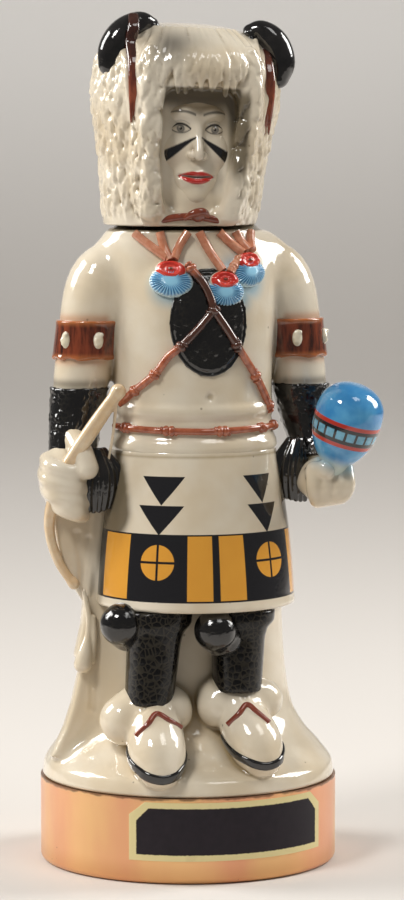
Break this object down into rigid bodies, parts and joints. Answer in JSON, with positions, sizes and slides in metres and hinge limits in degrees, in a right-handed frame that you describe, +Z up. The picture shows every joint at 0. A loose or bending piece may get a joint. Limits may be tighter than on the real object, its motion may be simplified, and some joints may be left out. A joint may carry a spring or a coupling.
{
  "type": "figural liquor decanter",
  "caption": "Glazed ceramic figural decanter: a horned, hooded dancer with bow and rattle on a gold plinth; the head lifts off with its cork.",
  "frame": {"origin": "centre of the flat foot ring under the plinth, on the surface that the decanter stands on", "axes": "+Z up through the figure; -Y is the way the figure faces; -X is the figure's right hand side"},
  "size_m": [0.1281, 0.1162, 0.3309],
  "materials": {
    "gold_lustre": "copper-gold lustre glaze",
    "cream_glaze": "glossy cream glaze",
    "face_glaze": "glossy cream glaze with painted features",
    "black_glaze": "glossy black glaze",
    "brown_glaze": "glossy brown glaze",
    "tan_glaze": "glossy tan glaze",
    "blue_glaze": "glossy blue glaze",
    "red_glaze": "glossy red glaze",
    "label_paper": "printed paper",
    "cork": "natural cork"
  },
  "bodies": {
    "decanter": {"plinth": "gold_lustre", "mound": "cream_glaze", "kilt": "cream_glaze", "torso": "cream_glaze", "right_arm": "cream_glaze", "left_arm": "cream_glaze", "right_armband": "brown_glaze", "left_armband": "brown_glaze", "armband_studs": "cream_glaze", "right_gauntlet": "black_glaze", "left_gauntlet": "black_glaze", "right_hand": "cream_glaze", "left_hand": "cream_glaze", "bow": "tan_glaze", "bow_tassel": "cream_glaze", "bow_web": "cream_glaze", "gourd_rattle": "blue_glaze", "right_feathers": "black_glaze", "left_feathers": "black_glaze", "chest_disc": "black_glaze", "sash_cord": "brown_glaze", "belt_cord": "brown_glaze", "left_pendant_shell": "blue_glaze", "middle_pendant_shell": "blue_glaze", "right_pendant_shell": "blue_glaze", "pendant_rosettes": "red_glaze", "pendant_cords": "brown_glaze", "right_legging": "black_glaze", "left_legging": "black_glaze", "right_pompom": "black_glaze", "left_pompom": "black_glaze", "right_moccasin": "cream_glaze", "left_moccasin": "cream_glaze", "right_sole": "black_glaze", "left_sole": "black_glaze", "right_strap": "brown_glaze", "left_strap": "brown_glaze", "label": "label_paper"},
    "cork": {"cork": "cork"},
    "head": {"hood": "cream_glaze", "face": "face_glaze", "horn_right": "black_glaze", "horn_left": "black_glaze", "ribbon_right": "brown_glaze", "ribbon_left": "brown_glaze", "choker": "brown_glaze"}
  },
  "joints": [
    {"name": "head_lift", "type": "slide", "parent": "decanter", "child": "cork", "axis": [0, 0, 1], "range_m": [0, 0.045]},
    {"name": "head_turn", "type": "hinge", "parent": "cork", "child": "head", "pos_m": [-0.0035, 0, 0.2495], "axis": [0, 0, 1], "continuous": true}
  ]
}
